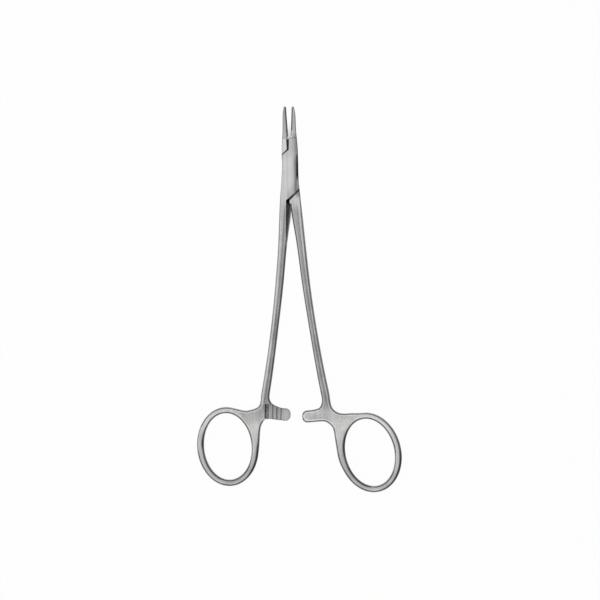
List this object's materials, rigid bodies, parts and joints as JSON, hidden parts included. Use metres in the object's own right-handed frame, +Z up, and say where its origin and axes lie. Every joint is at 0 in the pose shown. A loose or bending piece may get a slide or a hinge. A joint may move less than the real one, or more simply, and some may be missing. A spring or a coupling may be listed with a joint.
{
  "type": "needle holder",
  "caption": "Hinged surgical needle holder with a box lock, short serrated jaws, slender shanks, finger rings and a ratchet between the shanks.",
  "frame": {"origin": "on the pivot axis, in the plane that the instrument lies on", "axes": "+Y from the pivot to the jaws, midway between the two halves; +Z up, along the pivot axis, out of the flat side; +X to the right when seen from above with the jaws up"},
  "size_m": [0.0786, 0.149, 0.0046],
  "materials": {
    "satin_steel": "satin stainless steel, finely brushed along the shanks, with softly rounded edges",
    "pin_steel": "stainless steel pin, ground flush with the box and brushed with it"
  },
  "bodies": {
    "box_side": {"box_half": "satin_steel", "pivot_pin": "pin_steel"},
    "tongue_side": {"tongue_half": "satin_steel"}
  },
  "joints": [
    {"name": "box_lock_hinge", "type": "hinge", "parent": "box_side", "child": "tongue_side", "pos_m": [0, 0, 0.0023], "axis": [0, 0, 1], "range_deg": [-5.4, 22]}
  ]
}
